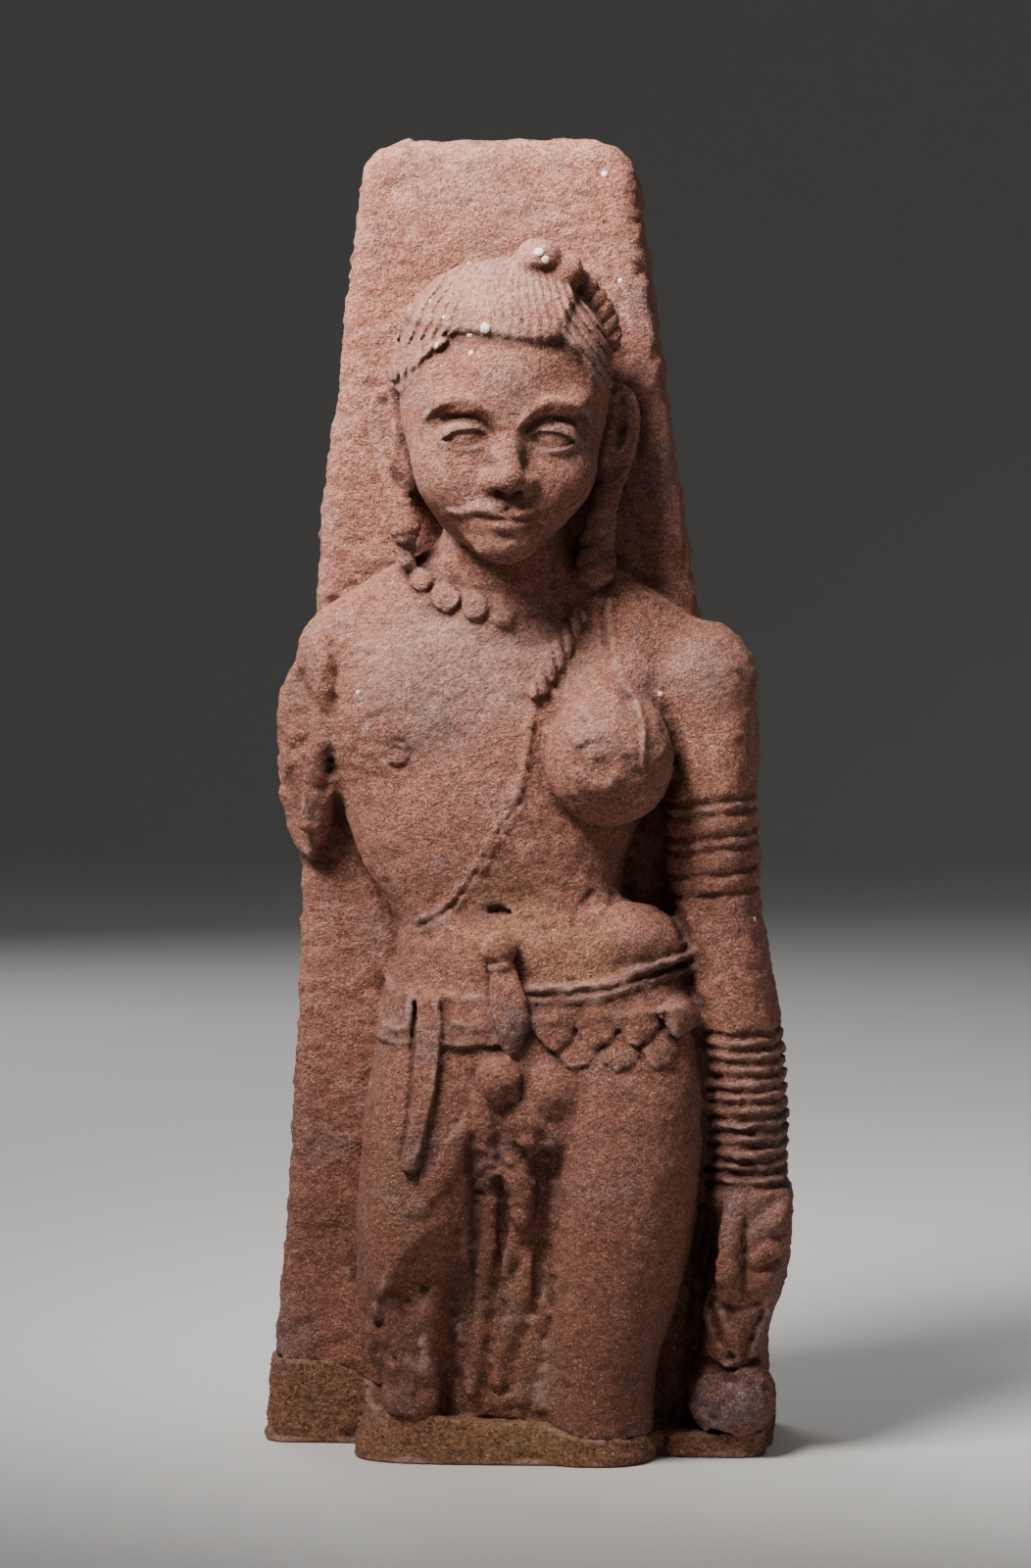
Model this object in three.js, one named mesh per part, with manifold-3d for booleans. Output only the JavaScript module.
// A standing half-male, half-female deity in high relief on a tapering stele of red sandstone.
// The figure is broken off at the shins, and a cast mortar footing makes the break level.
// Millimetres, +Z up, -Y towards the viewer. X runs to the viewer's right.
import * as THREE from "three";
import Module from "manifold-3d";
import { mergeVertices } from "three/addons/utils/BufferGeometryUtils.js";

// Driving dimensions
const HEIGHT = 500;
const STELE_DEPTH_FOOT = 66;
const STELE_DEPTH_TOP = 50;
const STELE_EDGE_ROUNDING = 9;
const STELE_CORNER_RADIUS = 16;
const RELIEF_ROOT = 16;
const SEAM_GAP = 0.3;
const FOOTING_SPREAD = 1.5;

// Working sizes of the mesh
const CELL = 2.4;
const BLOCK = 6;
const STONE_TRIANGLES = 8200;
const FOOTING_TRIANGLES = 1100;
const SEAM_CUT_DEPTH = 400;
const SEAM_CUT_LOW = -60;
const UNDER_FLOOR = -10;
const FOOTING_TOP = 38;

const RADIANS = Math.PI / 180;
const clamp = (v, low, high) => Math.min(Math.max(v, low), high);
const mix = (a, b, t) => a + (b - a) * t;
const smoothstep = (a, b, v) => {
  const t = clamp((v - a) / (b - a), 0, 1);
  return t * t * (3 - 2 * t);
};

// A form is a function of a point that gives its distance to the form's surface, negative inside.

// The smaller of two distances, with a fillet about k wide where they meet.
function join(a, b, k) {
  const h = Math.max(k - Math.abs(a - b), 0) / k;
  return Math.min(a, b) - (h * h * k) / 4;
}

const blend = (k, ...forms) => (x, y, z) => {
  let d = forms[0](x, y, z);
  for (let i = 1; i < forms.length; i++) d = join(d, forms[i](x, y, z), k);
  return d;
};

const cut = (k, body, ...tools) => (x, y, z) => {
  let d = body(x, y, z);
  for (const tool of tools) d = -join(-d, tool(x, y, z), k);
  return d;
};

const common = (k, ...forms) => (x, y, z) => {
  let d = forms[0](x, y, z);
  for (let i = 1; i < forms.length; i++) d = -join(-d, -forms[i](x, y, z), k);
  return d;
};

// A form that ends at two level planes.
const between = (low, high, form) => (x, y, z) => Math.max(form(x, y, z), low - z, z - high);

// An ellipsoid, turned about the Y axis by roll degrees.
function egg([cx, cy, cz], [rx, ry, rz], roll = 0) {
  const c = Math.cos(roll * RADIANS);
  const s = Math.sin(roll * RADIANS);
  return (x, y, z) => {
    const px = (c * (x - cx) + s * (z - cz)) / rx;
    const py = (y - cy) / ry;
    const pz = (c * (z - cz) - s * (x - cx)) / rz;
    const k = Math.sqrt(px * px + py * py + pz * pz);
    const g = Math.sqrt((px / rx) ** 2 + (py / ry) ** 2 + (pz / rz) ** 2);
    return g > 0 ? (k * (k - 1)) / g : -Math.min(rx, ry, rz);
  };
}

// A tapering rod with round ends, from a to b. flat scales its depth.
function limb(a, b, ra, rb, flat = 1) {
  const [ux, uy, uz] = [b[0] - a[0], b[1] - a[1], b[2] - a[2]];
  const length2 = ux * ux + uy * uy + uz * uz;
  return (x, y, z) => {
    const [px, py, pz] = [x - a[0], y - a[1], z - a[2]];
    const t = clamp((px * ux + py * uy + pz * uz) / length2, 0, 1);
    const [qx, qy, qz] = [px - t * ux, (py - t * uy) / flat, pz - t * uz];
    return Math.sqrt(qx * qx + qy * qy + qz * qz) - mix(ra, rb, t);
  };
}

// A rod through several points, each given as x, y, z and radius.
function strand(points, flat = 1) {
  const pieces = [];
  for (let i = 1; i < points.length; i++) {
    const [a, b] = [points[i - 1], points[i]];
    pieces.push(limb(a, b, a[3], b[3], flat));
  }
  return (x, y, z) => {
    let d = pieces[0](x, y, z);
    for (let i = 1; i < pieces.length; i++) d = Math.min(d, pieces[i](x, y, z));
    return d;
  };
}

// Rows of numbers read as smooth curves of their first column.
function curves(rows) {
  const slope = (i, c) => {
    const low = rows[Math.max(i - 1, 0)];
    const high = rows[Math.min(i + 1, rows.length - 1)];
    return (high[c] - low[c]) / (high[0] - low[0]);
  };
  const slopes = rows.map((row, i) => row.map((_, c) => (c ? slope(i, c) : 1)));
  return (at, column) => {
    const v = clamp(at, rows[0][0], rows[rows.length - 1][0]);
    let i = 0;
    while (i < rows.length - 2 && v > rows[i + 1][0]) i++;
    const [a, b] = [rows[i], rows[i + 1]];
    const span = b[0] - a[0];
    const t = (v - a[0]) / span;
    const [t2, t3] = [t * t, t * t * t];
    return (
      (2 * t3 - 3 * t2 + 1) * a[column] +
      (t3 - 2 * t2 + t) * span * slopes[i][column] +
      (3 * t2 - 2 * t3) * b[column] +
      (t3 - t2) * span * slopes[i + 1][column]
    );
  };
}

// A body in relief. Each row gives a height, the left and right edges there and the front.
// Its section is rounded in front of axisY and runs straight back into the stele behind it.
function relief(rows, axisY, power = 2.2, ends = 5) {
  const at = curves(rows);
  const [low, high] = [rows[0][0], rows[rows.length - 1][0]];
  let [lastZ, cx, rx, ry] = [NaN, 0, 0, 0];
  return (x, y, z) => {
    if (z !== lastZ) {
      const [left, right] = [at(z, 1), at(z, 2)];
      [lastZ, cx, rx, ry] = [z, (left + right) / 2, (right - left) / 2, axisY - at(z, 3)];
    }
    const u = Math.abs(x - cx) / rx;
    const v = Math.max(axisY - y, 0) / ry;
    const k = Math.pow(u ** power + v ** power, 1 / power);
    const gx = u ** (power - 1) / rx;
    const gy = v ** (power - 1) / ry;
    const side = ((k - 1) * k ** (power - 1)) / Math.max(Math.hypot(gx, gy), 1e-6);
    const d = -join(-Math.max(side, -rx), RELIEF_ROOT - y, 1);
    return -join(join(-d, high - z, ends), z - low, ends);
  };
}

// A form in a frame of its own, at a place, turned by yaw about Z, then pitch about X and roll about Y.
function placed(form, [cx, cy, cz], yaw, pitch, roll) {
  const turn = new THREE.Matrix4()
    .makeRotationZ(yaw * RADIANS)
    .multiply(new THREE.Matrix4().makeRotationX(pitch * RADIANS))
    .multiply(new THREE.Matrix4().makeRotationY(roll * RADIANS))
    .invert().elements;
  return (x, y, z) => {
    const [px, py, pz] = [x - cx, y - cy, z - cz];
    return form(
      turn[0] * px + turn[4] * py + turn[8] * pz,
      turn[1] * px + turn[5] * py + turn[9] * pz,
      turn[2] * px + turn[6] * py + turn[10] * pz,
    );
  };
}

const both = (make) => [make(-1), make(1)];

// Rings cut round an upright form: heights of the first and last groove, how many, and how deep.
function ringed(form, low, high, count, depth, tilt = 0) {
  const pitch = (high - low) / (count - 1);
  return (x, y, z) => {
    const at = z - tilt * x;
    const inside = smoothstep(low - pitch / 2, low, at) * smoothstep(high + pitch / 2, high, at);
    const groove = 0.5 + 0.5 * Math.cos((2 * Math.PI * (at - low)) / pitch);
    return form(x, y, z) + depth * inside * groove * groove * smoothstep(4, -2, y);
  };
}

// The stele: height, left edge, right edge
const STELE_EDGES = [
  [-20, -93, 102],
  [0, -92, 101],
  [140, -82, 95],
  [255, -77, 84],
  [329, -73.5, 71],
  [405, -65, 60.5],
  [464, -58, 52.5],
  [520, -52, 46.5],
];

function stele() {
  const edge = curves(STELE_EDGES);
  let [lastZ, left, right] = [NaN, 0, 0];
  return (x, y, z) => {
    if (z !== lastZ) [lastZ, left, right] = [z, edge(z, 1), edge(z, 2)];
    const depth = mix(STELE_DEPTH_FOOT, STELE_DEPTH_TOP, z / HEIGHT);
    // The corners at the top are rounded in the face's own plane first.
    const cx = Math.abs(x - (left + right) / 2) - (right - left) / 2 + STELE_CORNER_RADIUS;
    const cz = z - HEIGHT + STELE_CORNER_RADIUS;
    const face = Math.hypot(Math.max(cx, 0), Math.max(cz, 0)) + Math.min(Math.max(cx, cz), 0);
    const outline = face - STELE_CORNER_RADIUS + STELE_EDGE_ROUNDING;
    const across = Math.abs(y - depth / 2) - depth / 2 + STELE_EDGE_ROUNDING;
    return (
      Math.hypot(Math.max(outline, 0), Math.max(across, 0)) +
      Math.min(Math.max(outline, across), 0) -
      STELE_EDGE_ROUNDING
    );
  };
}

// Trunk from the hips to the base of the neck: height, left edge, right edge, front
const TRUNK = [
  [120, -53, 77, -48],
  [140, -50, 77, -49],
  [160, -46, 75.5, -46],
  [178, -43, 70, -42],
  [190, -40.5, 60, -38],
  [203, -41, 47.5, -33],
  [218, -46.5, 45, -32],
  [236, -57, 50, -34],
  [252, -63, 58, -36],
  [270, -67, 68, -36],
  [290, -70, 74, -33],
  [308, -70, 74, -28],
  [322, -64, 62, -23],
  [336, -44, 42, -17],
];

function trunk() {
  const breast = egg([41.6, -34, 265.5], [24.5, 27, 25.5]);
  const breastSlope = limb([50, -14, 314], [43, -27, 284], 10, 17);
  const chest = egg([-36, -12, 284], [33, 26, 34]);
  const ribs = egg([-12, -14, 238], [42, 24, 40]);
  const shoulderRoots = both((side) =>
    limb([side * 10, -10, 340], [side * 58, -8, 307], 13, 17, 0.85),
  );
  const hipFlesh = egg([51, -20, 197], [19, 18, 13], -14);
  const belly = egg([8, -14, 190], [42, 27, 19]);
  const navel = egg([1, -40, 208], [4.2, 6, 1.8]);
  const neck = limb([1, -4, 322], [2, -8, 356], 26.5, 24.5);
  const torso = relief(TRUNK, -6, 2.5);
  const mass = blend(8, torso, breastSlope, chest, ribs, belly, hipFlesh, ...shoulderRoots);
  const creases = [0, 1].map((i) =>
    strand([
      [29 + 7 * i, -38, 203 - i, 1],
      [31 + 7 * i, -39, 209, 1.6],
      [36 + 7 * i, -36, 215, 1],
    ]),
  );
  return cut(1.5, blend(4, blend(2.5, mass, breast), neck), navel, ...creases);
}

// Proper right leg, on the viewer's left: the thigh, and the shin further back under the broken knee
const RIGHT_THIGH = [
  [40, -53, -12, -50],
  [62, -54.5, -9, -56],
  [84, -55, -6, -58],
  [100, -54.5, -3, -58],
  [130, -51.5, 1, -54],
  [162, -46, 4, -46],
];

const RIGHT_SHIN = [
  [-20, -47, -20, -38],
  [18, -49, -19, -39],
  [40, -52, -18, -40],
  [70, -54, -13, -42],
  [100, -53, -6, -45],
];

// Proper left leg, in a smooth skirt
const LEFT_LEG = [
  [-20, 16, 58, -48],
  [0, 16, 58, -49],
  [32, 16, 59, -52],
  [57, 16, 66.5, -55],
  [85, 17, 73.5, -57],
  [113, 18, 77, -57],
  [140, 18, 77.5, -54],
  [168, 20, 73, -45],
];

// Between the legs
const LAP = [
  [-20, -30, 30, -33],
  [30, -30, 30, -36],
  [60, -30, 30, -38],
  [110, -25, 30, -43],
  [165, -20, 30, -45],
];

function legs() {
  // The break runs up across the thigh from its outer edge.
  const brokenAway = placed((x, y, z) => z + 0.25 * (y + 50), [-26, -38, 80], 0, 0, -41);
  const thigh = cut(1.5, relief(RIGHT_THIGH, -12, 2.4), brokenAway);
  const ankle = egg([-33, -34, 26], [14, 13, 13]);
  const outerGroove = strand([
    [-57, -24, 78, 5],
    [-51, -42, 58, 4],
    [-46, -47, 44, 3],
  ]);
  const innerGroove = strand([
    [-14, -44, 96, 2],
    [-17, -42, 60, 3],
    [-18, -41, 22, 3],
  ]);
  const rightLeg = cut(2.5, blend(2.5, thigh, relief(RIGHT_SHIN, -10, 2.6), ankle), outerGroove);
  const pair = blend(5, relief(LAP, -10, 4), rightLeg, relief(LEFT_LEG, -12, 2.3));
  return cut(3, pair, innerGroove);
}

// Cloth hanging between the thighs: lobes below the girdle and the folds that fall from them
function hangingCloth() {
  const lobes = [
    egg([22, -47, 142], [10, 9, 11], -20),
    egg([12, -45, 128], [7, 8, 12], 20),
    egg([7, -44, 106], [6, 7, 16], 12),
  ];
  const folds = [
    [[-4, -45, 132, 3], [-1, -46, 112, 4], [-2, -42, 88, 3.4], [-6, -40, 60, 3]],
    [[-10, -48, 118, 2], [-17, -49, 104, 3], [-27, -50, 92, 2]],
    [[14, -40, 72, 2.6], [9, -39, 56, 3.2], [1, -37, 30, 3]],
    [[-7, -40, 48, 2.5], [-9, -38, 20, 3]],
  ].map((points) => strand(points));
  const hollow = egg([12, -51, 86], [6, 10, 14], 10);
  return { raised: blend(3, ...lobes, ...folds), hollow };
}

// The proper left arm hangs straight and holds a flask by its neck.
const LEFT_ARM = [
  [36, 76, 98, -26],
  [48, 78, 101, -28],
  [62, 79, 106, -30],
  [78, 80.5, 109, -31],
  [92, 80, 110, -30],
  [106, 77, 108.5, -28],
  [125, 76, 108.5, -29.5],
  [144, 74.5, 107.5, -29.5],
  [166, 71, 105, -28.5],
  [188, 67.5, 101.5, -27.5],
  [205, 64.5, 98, -27.5],
  [225, 62.5, 96.5, -29],
  [255, 61, 96.5, -30],
  [277, 58, 96.5, -29.5],
  [298, 50, 90, -26],
];

function leftArm() {
  const shoulder = egg([70, -4, 291], [27, 27, 27]);
  const arm = ringed(relief(LEFT_ARM, -2, 2.5), 212, 248, 5, 2, -0.05);
  const bangled = ringed(arm, 103, 160.8, 12, 1.8, 0);
  const flask = egg([87.5, -12, 22], [17, 21, 16.5]);
  const flaskNeck = limb([88, -14, 34], [87, -16, 52], 9, 10);
  const thumb = strand([
    [87, -27, 97, 4.5],
    [86.5, -31, 82, 4.6],
    [85, -32, 66, 4],
  ]);
  const fingers = [0, 1, 2].map((i) => egg([99 - 1.5 * i, -29, 80 - 9 * i], [8, 6.5, 5], -18));
  const palmHollow = strand([
    [94, -35, 88, 2],
    [92, -36, 72, 2.6],
    [90, -34, 58, 2],
  ]);
  const held = blend(5, bangled, shoulder, flask, flaskNeck);
  return cut(2, blend(2.5, held, thumb, ...fingers), palmHollow);
}

// The proper right arm is broken at the elbow, with the scar of the raised forearm on it.
const RIGHT_ARM = [
  [226, -79, -73, -9],
  [238, -84, -66, -17],
  [255, -87, -59, -25],
  [275, -87, -56, -28],
  [292, -84, -54, -27],
  [308, -76, -52, -22],
];

function rightArm() {
  const shoulder = egg([-60, -6, 303], [19, 22, 19]);
  const scar = placed((x, y, z) => y + 0.1 * z, [-76, -19, 268], -54, 6, 0);
  const lowerScar = placed((x, y, z) => y - 0.2 * z, [-74, -20, 244], -12, 0, 0);
  const arm = cut(0.8, relief(RIGHT_ARM, -4), scar, lowerScar);
  const innerRim = strand([
    [-62, -26, 314, 4.2],
    [-64, -29, 306, 4.8],
    [-65, -27, 296, 3.8],
    [-63, -24, 286, 3],
  ]);
  const outerRim = strand([
    [-70, -22, 300, 4.5],
    [-74, -22, 296, 5],
    [-73, -23, 288, 4],
  ]);
  return blend(2, arm, shoulder, innerRim, outerRim);
}

// The head is made in its own frame: origin between the ears, face towards -Y.
const HEAD_AT = [1, -28, 393];
const HEAD_TURN = [8, 8, 1];

function face() {
  const cranium = egg([0, 0, 8], [36.5, 43, 42]);
  const forehead = egg([0, -9, 21], [29, 33, 20]);
  const jaw = egg([0, -8, -21], [29.5, 31, 29]);
  const chin = egg([0, -33, -42], [12, 9, 8]);
  const cheeks = both((side) => egg([side * 18, -24, -16], [15, 16, 15]));
  const sockets = both((side) => egg([side * 16, -46, 1.5], [12, 8, 7], side * 6));
  const eyes = both((side) => egg([side * 16, -34, -1], [9.5, 7, 5.2], side * 4));
  const nose = limb([0, -38.5, 5], [0, -45.5, -18], 3.8, 6);
  const wings = both((side) => egg([side * 6.5, -41, -20.5], [4.6, 5, 4]));
  const brows = both((side) =>
    strand([
      [side * 3, -42.5, 3, 1.8],
      [side * 9, -42, 8.5, 1.9],
      [side * 17, -39, 12, 1.9],
      [side * 26, -33, 9.5, 1.8],
      [side * 31, -27, 3, 1.5],
    ]),
  );
  const lips = blend(
    1.5,
    egg([0, -39.5, -31], [10.5, 4.5, 2.6]),
    egg([0, -38.5, -36], [8.5, 5, 3]),
  );
  const moustache = strand([
    [-1, -43, -27.5, 1.9],
    [-9, -42, -28, 2.1],
    [-16, -38.5, -31, 1.8],
    [-21, -34.5, -34, 1.3],
  ]);
  const skull = cut(6, blend(10, cranium, forehead, jaw, chin, ...cheeks), ...sockets);
  return blend(2, blend(5, skull, nose, ...wings), ...eyes, ...brows, lips, moustache);
}

// Hair combed back in a cap, with two rolls on the proper right side and a knot on top
function hair() {
  const dome = egg([1, 0, 21.5], [39.8, 45.6, 39]);
  const frontEdge = (x, y, z) => 32.5 - 0.0125 * (x - 4) * (x - 4) - z;
  const cap = common(3, dome, frontEdge);
  const upperRoll = common(
    2,
    egg([-2, 0, 16], [40, 44.5, 31]),
    (x, y, z) => Math.max(x + 12, 22 + 0.25 * (x + 12) - z),
  );
  const lowerRoll = common(
    2,
    egg([-2, 0, 8], [39.5, 42.5, 30]),
    (x, y, z) => Math.max(x + 22, 8 + 0.8 * (x + 22) - z),
  );
  const sweep = strand([
    [27, -32, 30, 5],
    [35, -24, 18, 5.5],
    [38, -16, 4, 5],
    [38, -12, -6, 4],
  ]);
  const knot = blend(2, egg([11.8, -8, 62], [8.6, 9, 6.6], -6), egg([5, -9, 58], [7, 7, 5], 20));
  const backRoll = strand([
    [20, 0, 57, 6],
    [28, 2, 50.5, 7],
    [35.5, 4, 41, 7],
    [40, 6, 30, 6],
  ]);
  return blend(2.5, cap, upperRoll, lowerRoll, sweep, knot, backRoll);
}

function ears() {
  const rightEar = strand([
    [-38.5, -22, 401, 3],
    [-46, -18, 401, 3],
    [-48.5, -16, 390, 3],
    [-46, -17, 377, 3],
    [-41.5, -20, 367, 3.6],
  ]);
  const rightDrum = limb([-38, -20, 364], [-35.5, -23, 353], 5.2, 6.4);
  const rightTip = limb([-37, -20, 350], [-35.5, -23, 338], 4.6, 2.8);
  const leftEar = strand([
    [40, -17, 403, 3.2],
    [47, -13, 401, 3.2],
    [49.5, -11, 390, 3.2],
    [47, -12, 375, 3.4],
    [41, -15, 364, 5],
  ]);
  const leftLobe = strand([
    [41, -19, 396, 2.4],
    [42, -18, 380, 2.6],
    [40, -18, 366, 4],
  ]);
  const leftPendant = limb([38, -18, 362], [36, -23, 333], 6, 7.6);
  return blend(2.5, rightEar, rightDrum, rightTip, leftEar, leftLobe, leftPendant);
}

function head() {
  return blend(3, placed(blend(1.5, face(), hair()), HEAD_AT, ...HEAD_TURN), ears());
}

// Dress and jewels that stand off the body
function ornaments() {
  const beads = [
    [-30, -25, 332, 4.4],
    [-20.5, -31, 326, 5.4],
    [-8, -35, 321.5, 5],
    [4, -36, 317, 3],
  ].map(([x, y, z, r]) => egg([x, y, z], [r, r * 0.8, r]));
  const twist = strand([
    [30, -29, 316, 3],
    [24, -33, 308, 3.6],
    [19, -37, 297, 3.6],
    [15.5, -38, 290, 2.8],
    [8.5, -38, 271, 1.8],
    [5.5, -37, 257, 1.8],
  ]);
  const thread = strand([
    [10, -39, 250, 1.6],
    [-1, -38, 238, 2],
    [-8, -37, 224, 2.2],
    [-18, -34, 210, 2.2],
    [-31, -27, 201, 2],
  ]);
  const shoulderString = strand([
    [41, -29, 322, 1.6],
    [43, -37, 308, 1.6],
    [47, -46, 297, 1.6],
    [53, -52, 287, 1.6],
    [55, -54, 278, 1.4],
  ]);
  return blend(1.5, ...beads, twist, thread, shoulderString);
}

// The male half wears a flat belt with a sash end. The female half wears a girdle of cords and leaves.
const GIRDLE_CORDS = [
  [13, -44, 176],
  [27, -48.5, 176.5],
  [42, -49, 179.5],
  [56, -43, 184],
  [68, -30, 189],
];

const BELT = [
  [157, -48, 6, -49],
  [166, -46.5, 6, -48],
  [178, -44, 6, -44.5],
];

const LEAF_BAND = [
  [156, 15, 77.5, -55.5],
  [163, 15, 76.5, -53],
  [171, 14, 74.5, -50],
];

function waistDress() {
  const belt = relief(BELT, -10, 2.4, 2);
  const slot = egg([-42, -32, 163], [5, 8, 2]);
  const sash = strand(
    [
      [-25, -42, 180, 6],
      [-24.5, -47, 170, 5.6],
      [-25, -51, 150, 5.4],
      [-27, -53, 130, 5],
      [-29.5, -54, 117, 4.4],
    ],
    0.7,
  );
  const cord = (drop) => strand(GIRDLE_CORDS.map(([x, y, z]) => [x, y - drop * 0.15, z - drop, 2.7]));
  const leaf = (x, z) => egg([x, -55.5 + 0.0125 * (x - 46) ** 2, z], [7, 3.4, 6.5]);
  const leaves = [
    ...[0, 1, 2, 3, 4].map((i) => leaf(23 + 10.5 * i, 159)),
    ...[0, 1, 2, 3].map((i) => leaf(29 + 10.5 * i, 152.5)),
  ];
  const shaft = strand([
    [1, -44, 188, 4.6],
    [4, -46, 176, 7],
    [6, -47, 165, 6.4],
    [6.5, -46, 156, 4],
  ]);
  const tip = egg([0.5, -44, 194], [7.4, 6, 6.6]);
  const pouch = egg([0.5, -46, 147], [9.4, 10, 10.5]);
  const dress = blend(1.5, cut(1, belt, slot), sash, cord(0), cord(7), relief(LEAF_BAND, -12, 2.2, 1.5));
  return blend(1.2, dress, ...leaves, shaft, tip, pouch);
}

function wholeCarving() {
  const cloth = hangingCloth();
  const lowerHollow = egg([75, -4, 60], [4, 12, 36], -8);
  const lower = cut(3, blend(3, legs(), cloth.raised), cloth.hollow);
  const body = blend(4, trunk(), lower);
  const dressed = blend(1.8, body, ornaments(), waistDress());
  const figure = blend(3, blend(5, dressed, leftArm()), rightArm(), head());
  return between(UNDER_FLOOR, HEIGHT + 5, cut(3, blend(4, stele(), figure), lowerHollow));
}

// Fills the cells where the surface would touch itself at a point or an edge.
function fillPinches(value, nx, ny, nz, offset) {
  const oneGroup = (mask) => {
    let seen = mask & -mask;
    for (let pass = 0; pass < 7; pass++)
      for (let c = 0; c < 8; c++)
        if (seen & (1 << c)) for (const step of [1, 2, 4]) seen |= mask & (1 << (c ^ step));
    return seen === mask;
  };
  const clean = Array.from({ length: 256 }, (_, mask) => oneGroup(mask) && oneGroup(255 - mask));
  for (let changed = true; changed; ) {
    changed = false;
    for (let k = 0; k < nz - 1; k++)
      for (let j = 0; j < ny - 1; j++)
        for (let i = 0; i < nx - 1; i++) {
          const at = (k * ny + j) * nx + i;
          let mask = 0;
          for (let c = 0; c < 8; c++) if (value[at + offset[c]] < 0) mask |= 1 << c;
          if (clean[mask]) continue;
          let least = -1;
          for (const step of offset)
            if (value[at + step] >= 0 && !(value[at + step] >= value[least])) least = at + step;
          value[least] = -1e-3;
          changed = true;
        }
  }
}

// Fills the pockets that the outside can't reach.
function fillPockets(value, strides) {
  const reached = new Uint8Array(value.length);
  const waiting = [0];
  reached[0] = 1;
  while (waiting.length) {
    const at = waiting.pop();
    for (const step of strides)
      for (const next of [at - step, at + step])
        if (next >= 0 && next < value.length && !reached[next] && value[next] >= 0) {
          reached[next] = 1;
          waiting.push(next);
        }
  }
  for (let at = 0; at < value.length; at++) if (value[at] >= 0 && !reached[at]) value[at] = -CELL;
}

// Surface nets: one vertex in each cell that the surface passes through, one quad for each crossed edge
function netOf(form, [x0, y0, z0], [x1, y1, z1]) {
  const nx = Math.ceil((x1 - x0) / CELL) + 1;
  const ny = Math.ceil((y1 - y0) / CELL) + 1;
  const nz = Math.ceil((z1 - z0) / CELL) + 1;
  const value = new Float32Array(nx * ny * nz);
  const index = (i, j, k) => (k * ny + j) * nx + i;
  // A block that lies far from the surface takes one value throughout.
  const reach = ((BLOCK * CELL) / 2) * Math.sqrt(3) * 1.4;
  for (let k0 = 0; k0 < nz; k0 += BLOCK)
    for (let j0 = 0; j0 < ny; j0 += BLOCK)
      for (let i0 = 0; i0 < nx; i0 += BLOCK) {
        const at = (n, low) => low + (n + (BLOCK - 1) / 2) * CELL;
        const middle = form(at(i0, x0), at(j0, y0), at(k0, z0));
        const far = Math.abs(middle) > reach;
        for (let k = k0; k < Math.min(k0 + BLOCK, nz); k++)
          for (let j = j0; j < Math.min(j0 + BLOCK, ny); j++)
            for (let i = i0; i < Math.min(i0 + BLOCK, nx); i++)
              value[index(i, j, k)] = far
                ? middle
                : form(x0 + i * CELL, y0 + j * CELL, z0 + k * CELL);
      }

  const corners = [0, 1].flatMap((c) => [0, 1].flatMap((b) => [0, 1].map((a) => [a, b, c])));
  const offset = corners.map(([a, b, c]) => index(a, b, c));
  const strides = [1, nx, nx * ny];
  fillPockets(value, strides);
  fillPinches(value, nx, ny, nz, offset);

  const vertexOf = new Int32Array(nx * ny * nz).fill(-1);
  const points = [];
  const edges = [];
  corners.forEach((p, i) =>
    corners.forEach((q, j) => {
      const steps = Math.abs(p[0] - q[0]) + Math.abs(p[1] - q[1]) + Math.abs(p[2] - q[2]);
      if (i < j && steps === 1) edges.push([i, j]);
    }),
  );
  const v = new Float64Array(8);
  for (let k = 0; k < nz - 1; k++)
    for (let j = 0; j < ny - 1; j++)
      for (let i = 0; i < nx - 1; i++) {
        const at = index(i, j, k);
        let inside = 0;
        for (let c = 0; c < 8; c++) {
          v[c] = value[at + offset[c]];
          if (v[c] < 0) inside++;
        }
        if (inside === 0 || inside === 8) continue;
        const sum = [0, 0, 0];
        let crossings = 0;
        for (const [p, q] of edges) {
          if (v[p] < 0 === v[q] < 0) continue;
          const t = v[p] / (v[p] - v[q]);
          for (let a = 0; a < 3; a++) sum[a] += mix(corners[p][a], corners[q][a], t);
          crossings++;
        }
        vertexOf[at] = points.length / 3;
        points.push(
          x0 + (i + sum[0] / crossings) * CELL,
          y0 + (j + sum[1] / crossings) * CELL,
          z0 + (k + sum[2] / crossings) * CELL,
        );
      }

  const faces = [];
  for (let k = 1; k < nz - 1; k++)
    for (let j = 1; j < ny - 1; j++)
      for (let i = 1; i < nx - 1; i++)
        for (let axis = 0; axis < 3; axis++) {
          const at = index(i, j, k);
          const inside = value[at] < 0;
          if (inside === value[at + strides[axis]] < 0) continue;
          const [u, w] = [strides[(axis + 1) % 3], strides[(axis + 2) % 3]];
          const quad = [at, at - u, at - u - w, at - w].map((n) => vertexOf[n]);
          if (!inside) quad.reverse();
          faces.push(quad[0], quad[1], quad[2], quad[0], quad[2], quad[3]);
        }
  return { points: Float64Array.from(points), faces: Int32Array.from(faces) };
}

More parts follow.
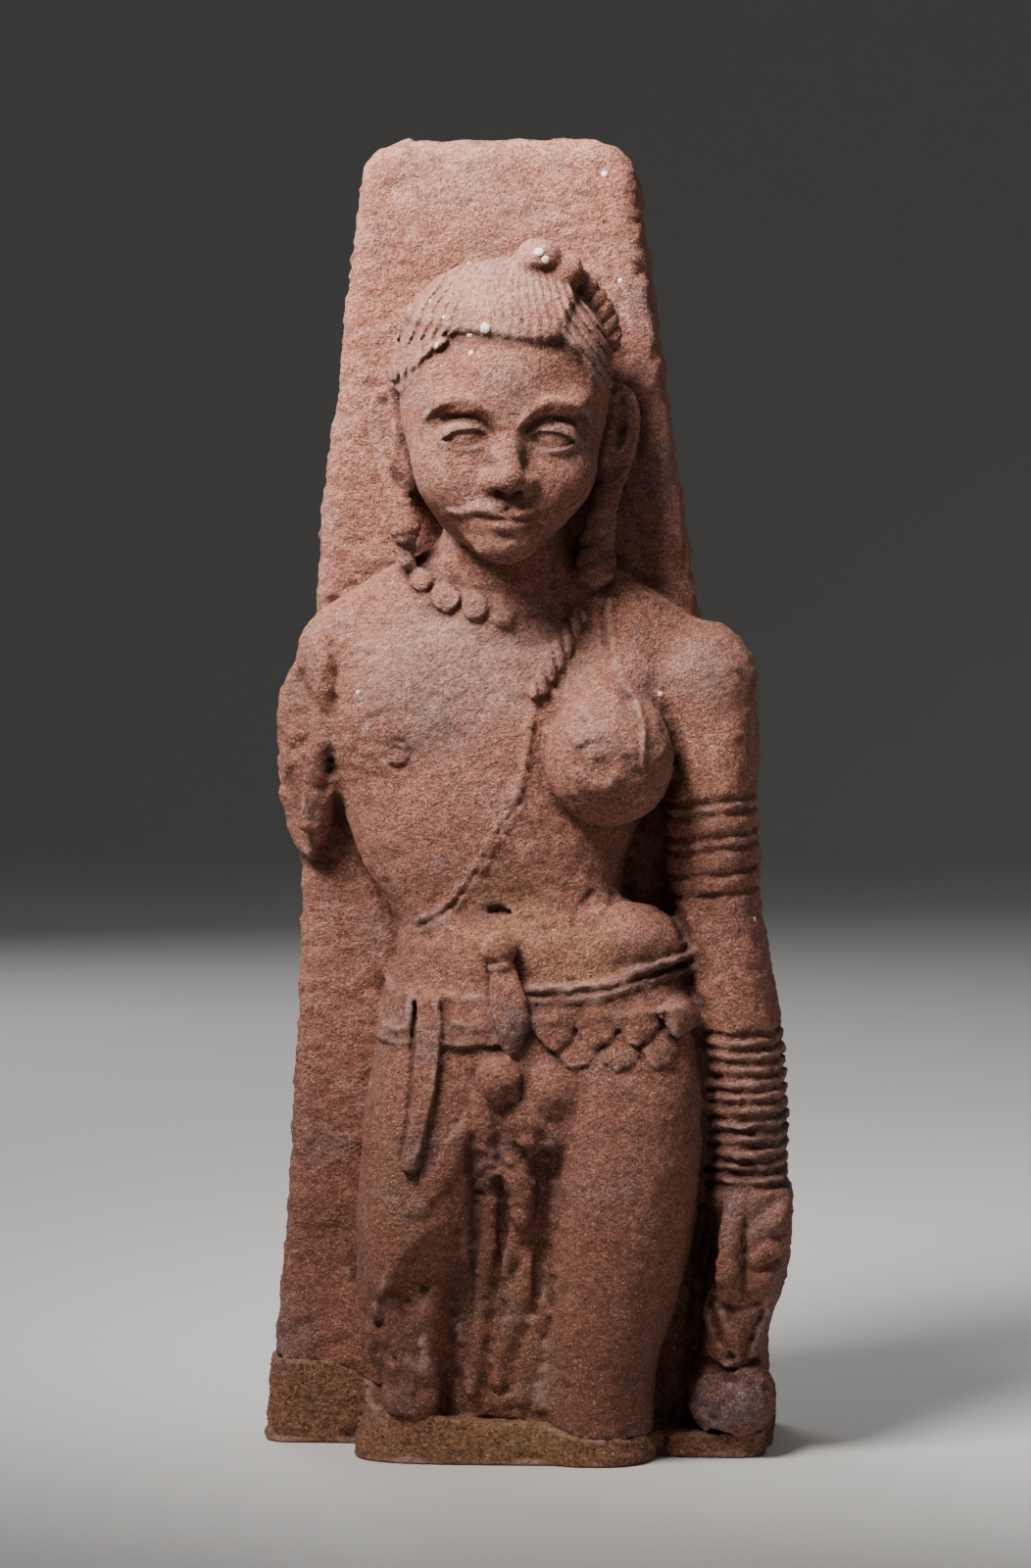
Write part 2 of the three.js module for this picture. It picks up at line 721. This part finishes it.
// The triangles of the largest shell, where two triangles belong together if they share an edge
function largestShell(faces) {
  const across = new Map();
  const count = faces.length / 3;
  const key = (a, b) => Math.min(a, b) * 1e7 + Math.max(a, b);
  for (let f = 0; f < count; f++)
    for (let c = 0; c < 3; c++) {
      const edge = key(faces[3 * f + c], faces[3 * f + ((c + 1) % 3)]);
      across.set(edge, [...(across.get(edge) ?? []), f]);
    }
  const shellOf = new Int32Array(count).fill(-1);
  const sizes = [];
  for (let first = 0; first < count; first++) {
    if (shellOf[first] >= 0) continue;
    const waiting = [first];
    shellOf[first] = sizes.length;
    sizes.push(0);
    while (waiting.length) {
      const f = waiting.pop();
      sizes[shellOf[f]]++;
      for (let c = 0; c < 3; c++)
        for (const g of across.get(key(faces[3 * f + c], faces[3 * f + ((c + 1) % 3)])))
          if (shellOf[g] < 0) {
            shellOf[g] = shellOf[f];
            waiting.push(g);
          }
    }
  }
  const largest = sizes.indexOf(Math.max(...sizes));
  return faces.filter((_, i) => shellOf[Math.floor(i / 3)] === largest);
}

// Edge collapse by quadric error, down to a number of triangles. It keeps the surface closed.
function simplified({ points, faces }, wanted) {
  const vertexCount = points.length / 3;
  const quadric = new Float64Array(vertexCount * 10);
  const facesAt = Array.from({ length: vertexCount }, () => []);
  const version = new Int32Array(vertexCount);
  const gone = new Uint8Array(faces.length / 3);
  const p = (v) => [points[3 * v], points[3 * v + 1], points[3 * v + 2]];
  const normalOf = (a, b, c) => {
    const [ux, uy, uz] = [b[0] - a[0], b[1] - a[1], b[2] - a[2]];
    const [wx, wy, wz] = [c[0] - a[0], c[1] - a[1], c[2] - a[2]];
    return [uy * wz - uz * wy, uz * wx - ux * wz, ux * wy - uy * wx];
  };

  for (let f = 0; f < gone.length; f++) {
    const corner = [faces[3 * f], faces[3 * f + 1], faces[3 * f + 2]];
    const [a, b, c] = corner.map(p);
    const n = normalOf(a, b, c);
    const area = Math.hypot(...n);
    for (const v of corner) facesAt[v].push(f);
    if (area < 1e-12) continue;
    const plane = [n[0] / area, n[1] / area, n[2] / area];
    plane.push(-(plane[0] * a[0] + plane[1] * a[1] + plane[2] * a[2]));
    for (const v of corner) {
      let slot = v * 10;
      for (let i = 0; i < 4; i++)
        for (let j = i; j < 4; j++) quadric[slot++] += plane[i] * plane[j] * area;
    }
  }

  const errorAt = (q, x, y, z) =>
    q[0] * x * x + 2 * q[1] * x * y + 2 * q[2] * x * z + 2 * q[3] * x + q[4] * y * y +
    2 * q[5] * y * z + 2 * q[6] * y + q[7] * z * z + 2 * q[8] * z + q[9];

  // The best place for a merged vertex, and its cost.
  const q = new Float64Array(10);
  function merged(a, b) {
    for (let i = 0; i < 10; i++) q[i] = quadric[a * 10 + i] + quadric[b * 10 + i];
    const [pa, pb] = [p(a), p(b)];
    const middle = [0, 1, 2].map((i) => (pa[i] + pb[i]) / 2);
    const span = Math.hypot(pa[0] - pb[0], pa[1] - pb[1], pa[2] - pb[2]);
    const det =
      q[0] * (q[4] * q[7] - q[5] * q[5]) -
      q[1] * (q[1] * q[7] - q[5] * q[2]) +
      q[2] * (q[1] * q[5] - q[4] * q[2]);
    const scale = q[0] + q[4] + q[7];
    const choices = [middle, pa, pb];
    if (Math.abs(det) > 1e-5 * scale ** 3) {
      const r = [-q[3], -q[6], -q[8]];
      const best = [
        (r[0] * (q[4] * q[7] - q[5] * q[5]) - q[1] * (r[1] * q[7] - q[5] * r[2]) +
          q[2] * (r[1] * q[5] - q[4] * r[2])) / det,
        (q[0] * (r[1] * q[7] - q[5] * r[2]) - r[0] * (q[1] * q[7] - q[5] * q[2]) +
          q[2] * (q[1] * r[2] - r[1] * q[2])) / det,
        (q[0] * (q[4] * r[2] - r[1] * q[5]) - q[1] * (q[1] * r[2] - r[1] * q[2]) +
          r[0] * (q[1] * q[5] - q[4] * q[2])) / det,
      ];
      const away = Math.hypot(best[0] - middle[0], best[1] - middle[1], best[2] - middle[2]);
      if (away < 2 * span) choices.unshift(best);
    }
    const costs = choices.map((c) => errorAt(q, c[0], c[1], c[2]));
    const least = costs.indexOf(Math.min(...costs));
    return { place: choices[least], cost: Math.max(costs[least], 0) + 1e-4 * span * span };
  }

  // A binary heap of edges, lowest cost first. Entries whose ends have changed are skipped.
  const heap = [];
  function push(entry) {
    let i = heap.push(entry) - 1;
    while (i && heap[(i - 1) >> 1].cost > entry.cost) {
      heap[i] = heap[(i - 1) >> 1];
      i = (i - 1) >> 1;
    }
    heap[i] = entry;
  }
  function pop() {
    const top = heap[0];
    const last = heap.pop();
    if (!heap.length) return top;
    let i = 0;
    for (;;) {
      let child = 2 * i + 1;
      if (child >= heap.length) break;
      if (child + 1 < heap.length && heap[child + 1].cost < heap[child].cost) child++;
      if (heap[child].cost >= last.cost) break;
      heap[i] = heap[child];
      i = child;
    }
    heap[i] = last;
    return top;
  }
  function offer(a, b) {
    const { place, cost } = merged(a, b);
    push({ a, b, place, cost, stamp: version[a] + version[b] });
  }
  const around = (v) => {
    const found = new Set();
    for (const f of facesAt[v]) for (let c = 0; c < 3; c++) found.add(faces[3 * f + c]);
    found.delete(v);
    return found;
  };
  for (let v = 0; v < vertexCount; v++) for (const w of around(v)) if (v < w) offer(v, w);

  // True if no triangle round v turns over or becomes a sliver when v moves to place.
  function staysUpright(v, other, place) {
    for (const f of facesAt[v]) {
      const corner = [faces[3 * f], faces[3 * f + 1], faces[3 * f + 2]];
      if (corner.includes(other)) continue;
      const before = normalOf(...corner.map(p));
      const moved = corner.map((c) => (c === v ? place : p(c)));
      const after = normalOf(...moved);
      const [size0, size1] = [Math.hypot(...before), Math.hypot(...after)];
      const dot = before[0] * after[0] + before[1] * after[1] + before[2] * after[2];
      if (dot < 0.35 * size0 * size1) return false;
      let longest = 0;
      for (let c = 0; c < 3; c++) {
        const [s, t] = [moved[c], moved[(c + 1) % 3]];
        longest = Math.max(longest, (s[0] - t[0]) ** 2 + (s[1] - t[1]) ** 2 + (s[2] - t[2]) ** 2);
      }
      if (size1 < 0.06 * longest) return false;
    }
    return true;
  }

  let count = gone.length;
  while (count > wanted && heap.length) {
    const { a, b, place, stamp } = pop();
    if (!facesAt[a].length || !facesAt[b].length || version[a] + version[b] !== stamp) continue;
    const [ringA, ringB] = [around(a), around(b)];
    if (!ringA.has(b)) continue;
    let shared = 0;
    for (const v of ringA) if (ringB.has(v)) shared++;
    if (shared !== 2) continue;
    if (!staysUpright(a, b, place) || !staysUpright(b, a, place)) continue;
    points.set(place, 3 * a);
    for (let i = 0; i < 10; i++) quadric[a * 10 + i] += quadric[b * 10 + i];
    for (const f of facesAt[b]) {
      const corner = faces.subarray(3 * f, 3 * f + 3);
      if (corner.includes(a)) {
        gone[f] = 1;
        count--;
        for (const v of corner) if (v !== b) facesAt[v] = facesAt[v].filter((g) => g !== f);
      } else {
        corner[corner.indexOf(b)] = a;
        facesAt[a].push(f);
      }
    }
    facesAt[b] = [];
    version[b] = -1e9;
    version[a]++;
    for (const v of around(a)) offer(a, v);
  }

  const kept = [];
  for (let f = 0; f < gone.length; f++) if (!gone[f]) kept.push(...faces.subarray(3 * f, 3 * f + 3));
  return new THREE.BufferGeometry()
    .setAttribute("position", new THREE.BufferAttribute(Float32Array.from(points), 3))
    .setIndex(largestShell(kept));
}

// A closed geometry as a solid for joining and cutting, and back again
function solidOf(wasm, geometry) {
  const bare = geometry.clone();
  for (const name of ["normal", "uv"]) bare.deleteAttribute(name);
  const merged = mergeVertices(bare, 1e-3);
  return new wasm.Manifold(
    new wasm.Mesh({
      numProp: 3,
      vertProperties: merged.attributes.position.array,
      triVerts: new Uint32Array(merged.index.array),
    }),
  );
}

function geometryOf(solid) {
  const mesh = solid.getMesh();
  const geometry = new THREE.BufferGeometry()
    .setAttribute("position", new THREE.BufferAttribute(mesh.vertProperties, 3))
    .setIndex([...mesh.triVerts]);
  geometry.computeVertexNormals();
  return geometry;
}

// Everything below the seam, which follows the broken foot of the stone: x and height
const SEAM = [
  [-140, 31],
  [-68, 31],
  [-58, 27],
  [-46, 19],
  [-20, 16],
  [18, 14],
  [34, 10],
  [64, 8.5],
  [140, 8],
];

function belowSeam(rise) {
  const outline = new THREE.Shape();
  outline.moveTo(SEAM[0][0], SEAM_CUT_LOW);
  for (const [x, z] of SEAM) outline.lineTo(x, z + rise);
  outline.lineTo(SEAM[SEAM.length - 1][0], SEAM_CUT_LOW);
  return new THREE.ExtrudeGeometry(outline, { depth: SEAM_CUT_DEPTH, bevelEnabled: false })
    .rotateX(Math.PI / 2)
    .translate(0, SEAM_CUT_DEPTH / 2, 0);
}

// The footing is a little fuller than the stone above it, and level below.
function footingForm() {
  const slab = stele();
  const block = (x, y, z) => slab(x, y, z) - FOOTING_SPREAD;
  const shins = relief(
    [
      [-30, -58, 60, -46],
      [34, -52, 58, -42],
    ],
    -8,
    5,
  );
  const legFront = relief(
    [
      [-30, 10, 60, -50],
      [34, 12, 58, -51],
    ],
    -12,
    2.6,
  );
  const underFlask = relief(
    [
      [-30, 56, 101, -26],
      [30, 60, 100, -24],
    ],
    -6,
    4,
  );
  return between(UNDER_FLOOR, FOOTING_TOP, blend(4, block, shins, legFront, underFlask));
}

const wasm = await Module();
wasm.setup();

const LOW = [-104, -88, -14];
const HIGH = [118, 74, HEIGHT + 6];
const FLOOR_SIZE = 600;
const FLOOR_DEPTH = 200;
const floorBlock = new THREE.BoxGeometry(FLOOR_SIZE, FLOOR_SIZE, FLOOR_DEPTH).translate(
  0,
  0,
  -FLOOR_DEPTH / 2,
);

const carving = solidOf(wasm, simplified(netOf(wholeCarving(), LOW, HIGH), STONE_TRIANGLES));
const stoneSolid = carving.subtract(solidOf(wasm, belowSeam(SEAM_GAP)));
const footingHigh = [HIGH[0], HIGH[1], FOOTING_TOP + 6];
const cast = simplified(netOf(footingForm(), LOW, footingHigh), FOOTING_TRIANGLES);
const footingSolid = solidOf(wasm, cast)
  .intersect(solidOf(wasm, belowSeam(0)))
  .subtract(solidOf(wasm, floorBlock));

const stone = new THREE.MeshStandardMaterial({ color: 0xa56f5c, roughness: 0.92, metalness: 0 });
stone.name = "red_sandstone";
const mortar = new THREE.MeshStandardMaterial({ color: 0xa5785a, roughness: 0.95, metalness: 0 });
mortar.name = "tinted_mortar";

const figure = new THREE.Mesh(geometryOf(stoneSolid), stone);
figure.name = "carved_stele";
const footing = new THREE.Mesh(geometryOf(footingSolid), mortar);
footing.name = "mortar_footing";

// The origin goes to the middle of the underside.
const box = new THREE.Box3().setFromObject(figure).union(new THREE.Box3().setFromObject(footing));
const middle = box.getCenter(new THREE.Vector3());
const part = new THREE.Group();
part.add(figure, footing);
part.position.set(-middle.x, -middle.y, -box.min.z);

export default part;
